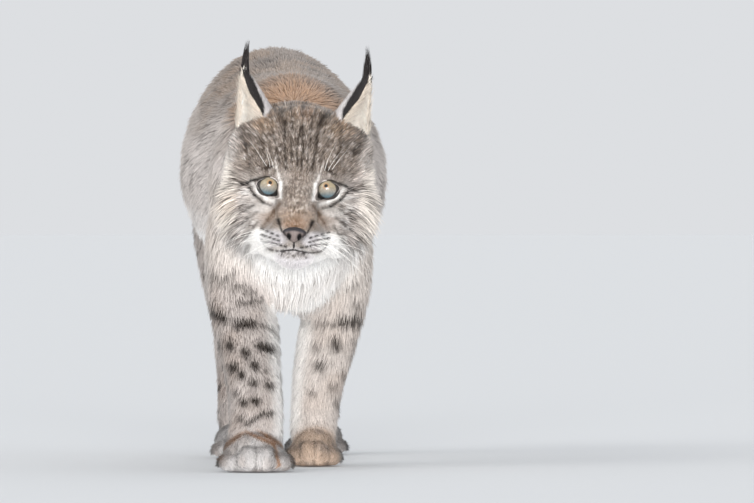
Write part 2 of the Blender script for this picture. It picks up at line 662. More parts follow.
def head_colour(q):
    """Colours of the head: a mottled brow with broken dark streaks, white round the eyes and on the muzzle, a
    speckled tan bridge, grey cheeks with thin dark arcs, and a cream rim."""
    x, z = q[:, 0] * 1000, q[:, 2] * 1000
    wide = np.abs(x)
    fine = noise(q, (0.0015, 0.004, 0.0022), 3)
    middle = noise(q, (0.0042, 0.008, 0.0080), 5)
    coarse = noise(q, (0.011, 0.014, 0.016), 4)
    arcs = noise(q, (0.006, 0.006, 0.0022), 6)
    colour = over(np.tile(GREY, (len(q), 1)), step(0.35, 0.75, coarse) * 0.55, PALE_GREY)
    brow = step(4, 24, z) * step(72, 58, wide)
    colour = over(colour, brow * 0.78, TAUPE)
    colour = over(colour, step(50, 80, z) * step(72, 58, wide) * 0.14, BROWN)
    colour = over(colour, step(60, 92, z) * step(0.15, 0.6, coarse) * 0.50, OCHRE)
    colour = over(colour, patch(x, z, (2, 84), (13, 9), 0.5) * 0.60, RUST)
    colour = over(colour, patch(wide, z, (41, 68), (12, 10), 0.6) * 0.55, OCHRE)
    colour = over(colour, step(0.52, 0.78, middle) * brow * 0.42, BROWN)
    colour = over(colour, step(0.52, 0.80, fine) * brow * 0.62, BROWN)
    colour = over(colour, step(0.42, 0.14, fine) * brow * 0.62, PALE_GREY)
    cheek = step(38, 50, wide) * step(20, -5, z)
    colour = over(colour, cheek * 0.35, PALE_GREY)
    colour = over(colour, step(0.58, 0.85, arcs) * cheek * 0.66, DARK * 0.85)
    colour = over(colour, step(0.45, 0.15, arcs) * cheek * 0.40, WHITE)
    bridge = patch(x, z, (0, -10), (15, 30), 0.5)
    colour = over(colour, bridge * 0.75, SAND)
    colour = over(colour, patch(wide, z, (0, -34), (34, 11), 0.5) * 0.75, TAN)
    colour = over(colour, patch(x, z, (0, -40), (13, 7), 0.5) * 0.70, RUST)
    grain = noise(q, (0.0015, 0.004, 0.0021), 8)
    speckled = np.maximum(bridge * step(-38, -26, z), patch(wide, z, (0, -34), (34, 11), 0.5) * 0.45)
    colour = over(colour, step(0.50, 0.75, grain) * speckled * 0.55, DARK)
    colour = over(colour, step(0.46, 0.20, grain) * speckled * 0.50, CREAM)
    for start, end, width, strength in (
        ((18, -19), (24, -27), 2.8, 0.80),
        ((24, -27), (31, -37), 2.2, 0.65),
        ((31, -37), (36, -45), 2.0, 0.45),
    ):
        colour = over(colour, stroke(wide, z, start, end, width) * strength, RUST * 0.45)
    for centre, half, strength, paint_colour in (
        ((25, -57), (17, 9.5), 0.90, MUZZLE),
        ((40, -60), (14, 13), 0.85, WHITE),
        ((0, -84), (46, 16), 1.0, WHITE),
        ((0, -77), (22, 11), 0.9, MUZZLE),
        ((40, -24), (13, 6), 0.30, WHITE),
    ):
        colour = over(colour, patch(wide, z, centre, half, 0.3) * strength, paint_colour)
    rim = np.interp(z, (-60, -10, 14, 30, 75), (62, 64, 66, 77, 78))
    colour = over(colour, step(rim, rim + np.interp(z, (10, 30), (9, 4)), wide) * step(-75, -45, z) * 0.80, CREAM)
    colour = over(colour, step(-60, -78, z) * step(-20, 10, q[:, 1] * 1000) * 0.90, WHITE)
    colour = over(colour, patch(x, z, (-74, -20), (9, 12), 0.5) * 0.30, TAN)
    broken = step(0.22, 0.55, noise(q, 0.0050, 9))
    for start, end, width, strength in DARK_STROKES:
        mask = stroke(wide, z, start, end, width) * min(1.0, 1.35 * strength) * (0.35 + 0.65 * broken)
        colour = over(colour, mask, BROWN * 0.6)
    for strokes, paint_colour in ((WHITE_STROKES, WHITE), (BLACK_STROKES, BLACK)):
        for start, end, width, strength in strokes:
            colour = over(colour, stroke(wide, z, start, end, width) * strength, paint_colour)
    for sx, sz in whisker_spots() * 1000:
        colour = over(colour, stroke(wide, z, (sx - 0.8, sz - 0.2), (sx + 1.2, sz + 0.4), 1.15), BLACK)
    gaps = step(0.25, 0.50, noise(q, (0.0026, 0.004, 0.005), 12))
    lip = patch(x, z, (0, -72.8), (15.5, 5.5), 0.5)
    colour = over(colour, lip * 0.40, GREY)
    colour = over(colour, lip * step(0.50, 0.72, noise(q, (0.0012, 0.004, 0.0024), 13)) * 0.65, DARK)
    for start, end, width, strength in LIP_STROKES:
        colour = over(colour, stroke(wide, z, start, end, width) * strength * (0.25 + 0.75 * gaps), BLACK)
    return colour * (0.92 + 0.16 * noise(q, 0.0016, 15))[:, None]


def spots(points, size, seed, share):
    """Scattered round spots: one at a random place in each cell of a lattice, where that cell has one."""
    cell = np.floor(points / size)
    nearest = np.full(len(points), 9.0)
    for corner in product((-1, 0, 1), repeat=3):
        at = cell + corner
        place = at + np.stack([lattice(at, seed + k) for k in (1, 2, 3)], 1)
        away = np.linalg.norm(points / size - place, axis=1)
        radius = 0.22 + 0.20 * lattice(at, seed + 4)
        nearest = np.minimum(nearest, np.where(lattice(at, seed + 5) < share, away / radius, 9.0))
    return step(1.15, 0.75, nearest)


# Marks on the front of the forelegs in millimetres across and up: start, end, half width and strength.
LEG_MARKS = {
    "foreleg_right": [
        ((-91, 175), (-78, 166), 4.2, 1.0), ((-64, 159), (-49, 160), 4.8, 1.0), ((-46, 161), (-32, 156), 2.2, 0.6),
        ((-30, 155), (-20, 147), 2.4, 0.5), ((-85, 137), (-84, 136), 3.4, 0.9), ((-72, 138), (-71, 136), 4.4, 1.0),
        ((-56, 130), (-55, 127), 4.2, 1.0), ((-41, 136), (-29, 132), 4.2, 1.0), ((-69, 114), (-68, 111), 4.2, 1.0),
        ((-48, 116), (-46, 114), 4.2, 1.0), ((-61, 105), (-60, 103), 3.6, 1.0), ((-49, 96), (-47, 95), 3.6, 0.9),
        ((-78, 99), (-77, 98), 2.8, 0.7), ((-33, 94), (-31, 92), 3.6, 0.9), ((-59, 75), (-57, 74), 3.6, 1.0),
        ((-48, 78), (-45, 76), 3.8, 1.0), ((-67, 85), (-66, 84), 2.6, 0.7), ((-40, 62), (-30, 63), 2.6, 0.9),
        ((-57, 51), (-41, 60), 2.2, 0.8), ((-62, 58), (-61, 56), 2.8, 0.8), ((-69, 199), (-58, 203), 2.8, 0.6),
        ((-56, 194), (-44, 197), 2.6, 0.5), ((-63, 182), (-38, 186), 2.6, 0.6), ((-80, 206), (-67, 217), 3.0, 0.6),
        ((-89, 214), (-87, 212), 4.0, 0.6), ((-36, 110), (-35, 108), 2.4, 0.6),
    ],
    "foreleg_left": [
        ((54, 162), (73, 163), 4.6, 1.0), ((33, 161), (50, 160), 3.2, 0.60), ((15, 160), (28, 159), 4.2, 0.40), ((38, 206), (47, 205), 2.8, 0.6),
        ((48, 138), (49, 135), 5.0, 0.95), ((27, 135), (29, 133), 4.2, 0.55), ((32, 113), (33, 111), 4.6, 0.90),
        ((70, 140), (71, 138), 3.4, 0.55), ((59, 101), (61, 99), 3.6, 0.70), ((22, 82), (24, 81), 3.2, 0.55),
        ((50, 70), (52, 68), 3.8, 0.65), ((66, 124), (67, 122), 3.2, 0.50), ((44, 89), (46, 87), 3.2, 0.55),
        ((68, 182), (74, 178), 3.4, 0.50), ((62, 200), (70, 204), 3.4, 0.45),
    ],
}
# Ochre bands over the near paw, across and up, and its half width.
PAW_BANDS = [
    ((-56, 43), (-28, 30)), ((-28, 30), (-23, 8)), ((-46, 46), (-35, 39)), ((-35, 39), (-11, 23)), ((-11, 23), (-4, 6)),
    ((-58, 44), (-77, 30)), ((-77, 30), (-88, 12)),
]


def body_colour(points, normals, weights, along):
    """Colours of trunk, legs, paws and tail: grey-brown above with faint spots, white below, pale spotted legs,
    pale toes with darker lines between them and a black end to the tail."""
    x, y, z = points.T
    coarse = noise(points, (0.024, 0.035, 0.024), 21)
    fine = noise(points, (0.0040, 0.012, 0.0040), 22)
    under = step(-0.05, -0.70, normals[:, 2])
    trunk = over(np.tile(PALE_GREY, (len(points), 1)), step(0.35, 0.85, coarse) * 0.42, GREY)
    back = step(0.25, 0.90, normals[:, 2])
    trunk = over(trunk, back * 0.84, TAUPE)
    trunk = over(trunk, back * step(0.4, 0.8, noise(points, 0.03, 23)) * 0.36, OCHRE)
    trunk = over(trunk, back * 0.10, BROWN)
    trunk = over(trunk, spots(points, 0.034, 31, 0.60) * (1 - under) * 0.45, DARK)
    trunk = over(trunk, step(0.60, 0.90, fine) * 0.25 * (1 - under), DARK)
    trunk = over(trunk, under * 0.95, WHITE)
    chest = step(0.240, 0.185, y) * step(0.335, 0.265, z)
    trunk = over(trunk, chest * 0.96, tone(233, 229, 226))
    mottled = step(0.58, 0.80, noise(points, (0.016, 0.030, 0.009), 24)) * step(0.030, 0.055, np.abs(x))
    trunk = over(trunk, chest * mottled * 0.50, TAUPE)
    nape = patch(x, z, (-0.001, 0.402), (0.050, 0.034), 0.5) * step(0.30, 0.22, y)
    trunk = over(trunk, nape * 0.75, tone(214, 168, 130))
    total = trunk * weights["trunk"][:, None]
    for name in LEG_NAMES:
        share = along[name]
        leg = over(np.tile(LEG_GREY, (len(points), 1)), step(0.3, 0.8, coarse) * 0.6, LEG_PINK)
        rows = LIMB_ROWS[name]
        inner = step(0.35, 0.85, -normals[:, 0] * np.sign(rows[0, 0]))
        leg = over(leg, inner * 0.80, WHITE)
        if name == "foreleg_left":
            leg = over(leg, np.full(len(points), 0.22), CREAM)
        leg = over(leg, step(0.40, 0.16, share) * 0.5, CREAM if name in LEG_MARKS else GREY)
        marks = np.zeros(len(points))
        for start, end, width, strength in LEG_MARKS.get(name, []):
            marks = np.maximum(marks, stroke(x * 1000, z * 1000, start, end, width * 1.05) ** 0.7 * strength)
        front = step(0.25, -0.25, normals[:, 1]) if name in LEG_MARKS else np.zeros(len(points))
        scattered = spots(points, 0.024, 41 + LEG_NAMES.index(name), 0.66) * (1 - 0.8 * inner)
        leg = over(leg, marks * front, DARK * 0.55)
        leg = over(leg, scattered * (1 - front) * 0.85, DARK * 0.75)
        total += leg * weights[name][:, None]
    for name, ((px, py), width, length, height, _) in PAWS.items():
        paw = over(np.tile(tone(216, 212, 211), (len(points), 1)), step(0.35, 0.8, noise(points, 0.012, 25)) * 0.4, LEG_PINK)
        if name == "forepaw_left":
            paw = over(np.tile(tone(221, 194, 172), (len(points), 1)), step(0.35, 0.75, noise(points, 0.010, 26)) * 0.6, LEG_PINK)
            paw = over(paw, step(px + 0.022, px + 0.036, x) * 0.8, CREAM)
        gap = np.abs(((x - px) / (width * 0.447)) - np.round((x - px) / (width * 0.447)))
        between = step(0.13, 0.02, gap) * step(py + 0.004, py - 0.016, y) * step(height * 0.8, height * 0.5, z)
        if name == "forepaw_right":
            for start, end in PAW_BANDS:
                paw = over(paw, stroke(x * 1000, z * 1000, start, end, 2.2) * 0.85, tone(196, 140, 92))
        paw = over(paw, between * 0.30, DARK)
        total += paw * weights[name][:, None]
    tail = over(np.tile(GREY, (len(points), 1)), under * 0.5, CREAM)
    tail = over(tail, step(0.52, 0.62, along["tail"] + 0.08 * (coarse - 0.5)), BLACK)
    total += tail * weights["tail"][:, None]
    return total * (0.92 + 0.16 * noise(points, 0.003, 27))[:, None]


def coat_colour(points, normals, weights, along):
    head = head_colour(to_head(points))
    body = body_colour(points, normals, weights, along)
    share = weights["head"][:, None]
    made = np.clip(head * share + body, 0, 1)
    return made * (0.45 + 0.55 * made.mean(axis=1, keepdims=True))


# The skin.


def build_skin():
    """One closed surface melted together from tubes and balls, drawn in by the coat's depth, with sockets
    behind the eyes and a groove along the mouth."""
    head_points, head_faces = joined(both_sides(HEAD_MASSES))
    parts = [(from_head(head_points), head_faces), egg_tube(TRUNK, 40), *both_sides(TRUNK_MASSES)]
    parts += [egg_tube(stations, 40) for stations in LEGS.values()]
    for paw in PAWS:
        parts += paw_balls(paw)
    parts.append(egg_tube(TAIL, 24))
    skin = surface("skin", *joined(parts))
    melt = skin.modifiers.new("melt", "REMESH")
    melt.mode = "VOXEL"
    melt.voxel_size = SKIN_VOXEL
    soften = skin.modifiers.new("soften", "SMOOTH")
    soften.factor = 0.5
    soften.iterations = 6
    settle(skin)
    refine_face(skin)
    points, normals = points_of(skin), normals_of(skin)
    weights, along = parts_at(points)
    points = points - normals * coat_depth(hair_length(points, normals, weights, along))[:, None]
    q = to_head(points)
    gap = eye_gap(q)
    q[:, 1] += 0.020 * step(0.0010, -0.0030, gap) * weights["head"]
    q[:, 1] += 0.0022 * np.exp(-((mouth_gap(q) / 0.0018) ** 2)) * weights["head"]
    pads = patch(np.abs(q[:, 0]), q[:, 2], (0.020, -0.058), (0.015, 0.010), 0.8) * (q[:, 1] < 0.02)
    q[:, 1] -= 0.0022 * pads * weights["head"]
    near_nose = np.linalg.norm((q - NOSE_PLACE) / NOSE_HALF, axis=1)
    q[:, 1] += 0.0040 * step(1.25, 0.85, near_nose)
    points = from_head(q)
    points[:, 2] = np.maximum(points[:, 2], FLOOR_CLEARANCE)
    move_points(skin, points)
    return skin


def refine_face(skin):
    """Splits the faces of the front of the head in four, for its finer forms."""
    work = bmesh.new()
    work.from_mesh(skin.data)
    q = to_head(points_of(skin))
    near = (q[:, 1] < 0.034) & (np.abs(q[:, 0]) < 0.058) & (q[:, 2] > -0.088) & (q[:, 2] < 0.034)
    edges = [edge for edge in work.edges if near[edge.verts[0].index] and near[edge.verts[1].index]]
    bmesh.ops.subdivide_edges(work, edges=edges, cuts=1, use_grid_fill=True, smooth=0.6)
    work.to_mesh(skin.data)
    work.free()


# Tufts of the coat.


def roots_on(points, triangles, density, draw):
    """Random places on triangles, with a density in tufts per square metre given for each triangle, as the
    triangle and the shares of its corners."""
    a, b, c = (points[triangles[:, k]] for k in range(3))
    area = 0.5 * np.linalg.norm(np.cross(b - a, c - a), axis=1)
    wanted = area * density
    count = np.floor(wanted + draw.random(len(wanted))).astype(int)
    chosen = np.repeat(np.arange(len(triangles)), count)
    share = draw.random((len(chosen), 2))
    share = np.where(share.sum(axis=1, keepdims=True) > 1, 1 - share, share)
    return chosen, np.column_stack([1 - share.sum(axis=1), share])


def clumped(roots, tips, size, pull, seed):
    """Draws the tips of neighbouring tufts together: those whose roots share a cell of a bent lattice."""
    bend = np.stack([noise(roots, size * 1.7, seed + k) for k in range(3)], 1) * size * 1.6
    cell = np.floor((roots + bend) / size).astype(np.int64)
    key = cell[:, 0] * 92821 + cell[:, 1] * 68917 + cell[:, 2] * 31547
    _, group = np.unique(key, return_inverse=True)
    count = np.bincount(group)
    middle = np.stack([np.bincount(group, tips[:, k]) / count for k in range(3)], 1)
    return tips + (middle[group] - tips) * pull[:, None]


def tuft_shapes(roots, normals, shown, ahead, length, width, lift, sag, draw, bent):
    """Closed three-sided spikes: a triangle of points sunk at the root, for bent ones a second triangle
    halfway along a curve that rises by the lift and then sags to the lie, and a point at the tip."""
    count = len(roots)
    side = unit(np.cross(ahead, normals))
    sway = draw.normal(0, 0.13, (count, 1))
    rise = np.tan(lift)[:, None]
    ahead = unit(ahead + side * sway + normals * rise)
    side = unit(np.cross(ahead, normals))
    up = np.cross(side, ahead)
    tips = roots + ahead * length[:, None] + sag * length[:, None]
    tips = clumped(roots, tips, 0.009, 0.18 * step(0.010, 0.022, length), 51)
    start = roots - ahead * 0.0012 - normals * 0.0008
    ring = np.stack([side * 0.5, up * 0.36, -side * 0.5], 1)
    rings = [start[:, None] + ring * width[:, None, None]]
    if bent:
        middle = roots + (tips - roots) * 0.5 - sag * length[:, None] * 0.28 + normals * length[:, None] * 0.02
        rings.append(middle[:, None] + ring * (width * 0.86)[:, None, None])
    points = np.concatenate([*rings, tips[:, None]], axis=1)
    per = points.shape[1]
    off = np.concatenate([ring] * len(rings) + [np.zeros((count, 1, 3))], axis=1)
    facing = unit(shown[:, None] + off * OWN_FACING)
    shape = [(0, 1, 2)]
    for k in range(len(rings) - 1):
        for j in range(3):
            a, b = 3 * k + j, 3 * k + (j + 1) % 3
            shape += [(b, a, a + 3), (b, a + 3, b + 3)]
    shape += [(per - 4 + (j + 1) % 3, per - 4 + j, per - 1) for j in range(3)]
    faces = np.array(shape)[None] + (np.arange(count) * per)[:, None, None]
    return points, facing, faces.reshape(-1, 3), per


def lay_patches(mesh, places, corners):
    """The bake's map: for each tuft a small patch round its place, with a corner for each of its points."""
    spread = (places[:, None] + corners[None] * BAKE_PATCH).reshape(-1, 2)
    index = np.empty(len(mesh.loops), int)
    mesh.loops.foreach_get("vertex_index", index)
    mesh.uv_layers.new(name="OFBake").data.foreach_set("uv", spread[index].ravel())


def coat_piece(name, points, facing, faces, per, colours, places, material, slot):
    """A mesh of many tufts with a colour at every point and a small patch of the bake's map for each tuft."""
    count = len(points)
    mesh = bpy.data.meshes.new(name)
    mesh.vertices.add(count * per)
    mesh.vertices.foreach_set("co", (points.reshape(-1, 3) + UNDER_NOSE).ravel())
    mesh.loops.add(3 * len(faces))
    mesh.loops.foreach_set("vertex_index", faces.ravel())
    mesh.polygons.add(len(faces))
    mesh.polygons.foreach_set("loop_start", np.arange(len(faces)) * 3)
    mesh.update(calc_edges=True)
    mesh.attributes.new("custom_normal", "FLOAT_VECTOR", "POINT").data.foreach_set("vector", facing.ravel())
    made = bpy.data.objects.new(name, mesh)
    bpy.context.scene.collection.objects.link(made)
    paint(made, colours)
    height = np.array([0, 0, 0, 0.5, 0.5, 0.5, 1.0] if per == 7 else [0, 0, 0, 1.0])
    across = np.array([0, 0.5, 1.0, 0, 0.5, 1.0, 0.5] if per == 7 else [0, 0.5, 1.0, 0.5])
    lay_patches(mesh, places, np.stack([across - 0.5, height - 0.5], 1))
    return finished(made, material, slot)


def tuft_colours(base, per, draw, dark_tips, pale, mixed):
    """Colours from root to tip: a darker root, the marking's own colour, and a paler tip, more so where pale
    is high, with some hairs dark at the end; mixed is how much one hair differs from the next."""
    count = len(base)
    base = np.clip(base * np.exp(draw.normal(0, 1, count) * mixed)[:, None], 0, 1)
    light = step(0.02, 0.20, base.mean(axis=1))[:, None]
    tip = base + (CREAM - base) * (0.20 * light + 0.60 * pale[:, None] * light)
    ends = (draw.random(count) < dark_tips)[:, None]
    tip = np.where(ends, base * 0.60, tip)
    share = step(0.20, 0.75, base.mean(axis=1))[:, None]
    root = base * (0.66 + 0.31 * share)
    rows = [root, root, root, base, base, base, tip] if per == 7 else [base * (0.80 + 0.16 * share)] * 3 + [tip]
    return np.clip(np.stack(rows, 1), 0, 1).reshape(-1, 3)


def head_map(q):
    """Place of a point of the head on its unwrap: the angle from its back and the turn round it."""
    off = q - (0, 0.05, -0.005)
    away = np.arccos(np.clip(off[:, 1] / np.linalg.norm(off, axis=1), -1, 1)) / math.pi
    turn = np.arctan2(off[:, 2], off[:, 0])
    return 0.5 + 0.49 * away[:, None] * np.stack([np.cos(turn), np.sin(turn)], 1)


def body_map(points, weights, along):
    """Place of a root on the unwrap of the skin: along and round the limb that it grows on, or the head's."""
    made = head_map(to_head(points))
    for name in LIMB_ROWS:
        rows = LIMB_ROWS[name]
        index = (along[name] * (len(rows) - 1)).astype(int)
        off = points - rows[index, :3]
        ahead = unit(np.gradient(rows[:, :3], axis=0))[index]
        side = unit(np.array((1.0, 0.0, 0.0)) - ahead * ahead[:, :1])
        up = np.cross(side, ahead)
        around = np.arctan2((off * side).sum(axis=1), (off * up).sum(axis=1)) / (2 * math.pi) + 0.5
        flat = np.stack([0.01 + 0.98 * around, 0.01 + 0.98 * (along[name] * 0.8 + 0.2 * (points[:, 2] < 0.06))], 1)
        owner = weights[name]
        if name in LEGS:
            owner = owner + weights[name.replace("leg", "paw")]
        made = np.where((owner > weights["head"])[:, None] & (owner > 0.4)[:, None], flat, made)
    return made


def build_coat(skin, material):
    """Tufts over the whole skin, in pieces by region, following the lie with the length of each place."""
    points, normals = points_of(skin), normals_of(skin)
    skin.data.calc_loop_triangles()
    triangles = np.empty(3 * len(skin.data.loop_triangles), int)
    skin.data.loop_triangles.foreach_get("vertices", triangles)
    triangles = triangles.reshape(-1, 3)
    weights, along = parts_at(points)
    length = hair_length(points, normals, weights, along)
    ahead = lie(points, normals, weights, along)
    q = to_head(points)
    grow = (eye_gap(q) > 0.0012) | (weights["head"] < 0.5)
    grow &= np.linalg.norm((q - NOSE_PLACE) / NOSE_HALF, axis=1) > 1.08
    grow &= (mouth_gap(q) > 0.0010) | (np.abs(q[:, 0]) > 0.013) | (weights["head"] < 0.5)
    grow &= (points[:, 2] > 0.004) & ((points[:, 2] > 0.012) | (normals[:, 2] > -0.5))
    width = hair_width(length) * (1 - 0.18 * weights["head"])
    density = (4.1 + 1.0 * weights["head"]) / (width * length)
    density = np.where(grow, density, 0.0)
    draw = np.random.default_rng(SEED)
    per_triangle = density[triangles].mean(axis=1) * grow[triangles].all(axis=1)
    chosen, share = roots_on(points, triangles, per_triangle, draw)
    corner = triangles[chosen]

    def at(values):
        return (values[corner] * (share[..., None] if values.ndim > 1 else share)).sum(axis=1)

    roots = at(points)
    root_normals, root_ahead = unit(at(normals)), unit(at(ahead))
    root_weights = {name: at(value) for name, value in weights.items()}
    root_along = {name: at(value) for name, value in along.items()}
    ownership = np.stack([root_weights[name] for name in root_weights], 1)
    names = list(root_weights)
    owner = np.array(names)[ownership.argmax(axis=1)]
    long_hair = at(length)
    stand = hair_lift(roots, root_weights)
    middles = roots + root_ahead * (0.45 * long_hair)[:, None]
    colours = coat_colour(middles, root_normals, root_weights, root_along)
    head_middles = to_head(middles)
    # Thick pale hair spreads light, so on chin, throat and chest it is shown as facing forward.
    spread = np.maximum(
        step(-0.058, -0.078, head_middles[:, 2]) * root_weights["head"],
        0.7 * step(0.26, 0.18, roots[:, 1]) * step(0.32, 0.27, roots[:, 2]) * root_weights["trunk"],
    )
    root_shown = unit(root_normals + np.array((0.0, -1.2, 0.0)) * spread[:, None])
    light = step(0.75, 0.45, colours.mean(axis=1))
    mixed = 0.07 + light * root_weights["head"] * (0.20 + 0.26 * step(0.006, 0.030, head_middles[:, 2]))
    outer = np.abs(head_middles[:, 0]) - 0.014 * step(0.0, 0.03, head_middles[:, 2])
    pale = root_weights["head"] * step(0.062, 0.076, outer) * step(0.085, 0.06, head_middles[:, 2])
    place = body_map(roots, root_weights, root_along)
    side = np.where(roots[:, 0] > 0, "left", "right")
    region = owner.astype("U24")
    region = np.where((owner == "head") | (owner == "trunk"), np.char.add(np.char.add(region, "_"), side), region)
    trunk_share = np.minimum((root_along["trunk"] * 3).astype(int), 2).astype("U1")
    region = np.where(owner == "trunk", np.char.add(np.char.add(region, "_"), trunk_share), region)
    region = np.where(long_hair > 0.0095, np.char.add(region, "_long"), np.char.add(region, "_short"))
    total = 0
    for name in np.unique(region):
        here = region == name
        count = int(here.sum())
        if count < 40:
            continue
        bent = name.endswith("_long")
        reach = long_hair[here] * draw.uniform(0.78, 1.12, count)
        broad = hair_width(reach) * (1 - 0.18 * root_weights["head"][here]) * draw.uniform(0.8, 1.2, count)
        lift = np.radians(stand[here] + draw.normal(0, 4.5, count))
        drift = 0.35 * (np.stack([noise(roots[here], 0.03, 61 + k) for k in range(3)], 1) - 0.5)
        flow = root_ahead[here] + drift - root_normals[here] * (drift * root_normals[here]).sum(axis=1, keepdims=True)
        sag = np.zeros((count, 3))
        sag[:, 2] = -0.16 * step(0.012, 0.030, reach)
        made, facing, faces, per = tuft_shapes(
            roots[here], root_normals[here], root_shown[here], unit(flow), reach, broad, lift, sag, draw, bent
        )
        made[..., 2] = np.maximum(made[..., 2], FLOOR_CLEARANCE)
        shades = tuft_colours(colours[here], per, draw, 0.08, pale[here], mixed[here])
        coat_piece(f"coat_{name}", made, facing, faces, per, shades, place[here], material, "coat")
        total += len(faces)
        print(f"coat_{name}: {count} tufts, {len(faces)} triangles")
    print(f"coat in all: {total} triangles")


# Shader groups and materials.


def node_group(name, inputs, outputs):
    """An empty shader group with named inputs and outputs, as its two end nodes and itself."""
    group = bpy.data.node_groups.new(name, "ShaderNodeTree")
    for socket, kind, value in inputs:
        made = group.interface.new_socket(socket, in_out="INPUT", socket_type=kind)
        if value is not None:
            made.default_value = value
    for socket, kind in outputs:
        group.interface.new_socket(socket, in_out="OUTPUT", socket_type=kind)
    return group, group.nodes.new("NodeGroupInput"), group.nodes.new("NodeGroupOutput")


def hair_tone_group():
    """Small uneven lightness and warmth that hair has from strand to strand, over a given colour."""
    group, start, end = node_group(
        "hair_tone",
        [("Colour", "NodeSocketColor", (0.5, 0.5, 0.5, 1)), ("Scale", "NodeSocketFloat", 300.0),
         ("Amount", "NodeSocketFloat", 0.2)],
        [("Colour", "NodeSocketColor"), ("Height", "NodeSocketFloat")],
    )
    nodes, links = group.nodes, group.links
    place = nodes.new("ShaderNodeTexCoord")
    grain = nodes.new("ShaderNodeTexNoise")
    grain.inputs["Detail"].default_value = 3.0
    links.new(place.outputs["Object"], grain.inputs["Vector"])
    links.new(start.outputs["Scale"], grain.inputs["Scale"])
    spread = nodes.new("ShaderNodeMapRange")
    spread.inputs["From Min"].default_value = 0.3
    spread.inputs["From Max"].default_value = 0.7
    links.new(grain.outputs["Fac"], spread.inputs["Value"])
    low = nodes.new("ShaderNodeMath")
    low.operation = "SUBTRACT"
    low.inputs[0].default_value = 1.0
    links.new(start.outputs["Amount"], low.inputs[1])
    high = nodes.new("ShaderNodeMath")
    high.operation = "ADD"
    high.inputs[0].default_value = 1.0
    links.new(start.outputs["Amount"], high.inputs[1])
    links.new(low.outputs[0], spread.inputs["To Min"])
    links.new(high.outputs[0], spread.inputs["To Max"])
    scale = nodes.new("ShaderNodeVectorMath")
    scale.operation = "SCALE"
    links.new(start.outputs["Colour"], scale.inputs[0])
    links.new(spread.outputs["Result"], scale.inputs["Scale"])
    links.new(scale.outputs["Vector"], end.inputs["Colour"])
    links.new(grain.outputs["Fac"], end.inputs["Height"])
    return group


def attribute_material(name, group, scale, amount, roughness, specular, bump, sheen=0.0, coat=0.0):
    """Principled material that takes its colour from the mesh, made uneven by the shared group."""
    material = bpy.data.materials.new(name)
    material.use_nodes = True
    nodes, links = material.node_tree.nodes, material.node_tree.links
    shader = nodes["Principled BSDF"]
    own = nodes.new("ShaderNodeAttribute")
    own.attribute_name = "coat_colour"
    uneven = nodes.new("ShaderNodeGroup")
    uneven.node_tree = group
    uneven.inputs["Scale"].default_value = scale
    uneven.inputs["Amount"].default_value = amount
    links.new(own.outputs["Color"], uneven.inputs["Colour"])
    links.new(uneven.outputs["Colour"], shader.inputs["Base Color"])
    shader.inputs["Roughness"].default_value = roughness
    shader.inputs["Specular IOR Level"].default_value = specular
    shader.inputs["Sheen Weight"].default_value = sheen
    shader.inputs["Sheen Roughness"].default_value = 0.5
    shader.inputs["Coat Weight"].default_value = coat
    shader.inputs["Coat Roughness"].default_value = 0.03
    if bump:
        relief = nodes.new("ShaderNodeBump")
        relief.inputs["Strength"].default_value = bump
        relief.inputs["Distance"].default_value = 0.0006
        links.new(uneven.outputs["Height"], relief.inputs["Height"])
        links.new(relief.outputs["Normal"], shader.inputs["Normal"])
    return material


# Pieces of the face.


def skin_tree(skin):
    """The skin's surface for casting rays, in the head's frame."""
    work = bmesh.new()
    work.from_mesh(skin.data)
    points = to_head(points_of(skin))
    for vertex, place in zip(work.verts, points):
        vertex.co = Vector(place)
    tree = BVHTree.FromBMesh(work)
    work.free()
    return tree


def face_depth(tree, x, z, fallback=0.0):
    """Depth of the face behind each place seen from the front."""
    made = []
    for px, pz in zip(np.ravel(x), np.ravel(z)):
        hit = tree.ray_cast(Vector((px, -0.3, pz)), Vector((0, 1, 0)))[0]
        made.append(hit.y if hit is not None else fallback)
    return np.array(made).reshape(np.shape(x))


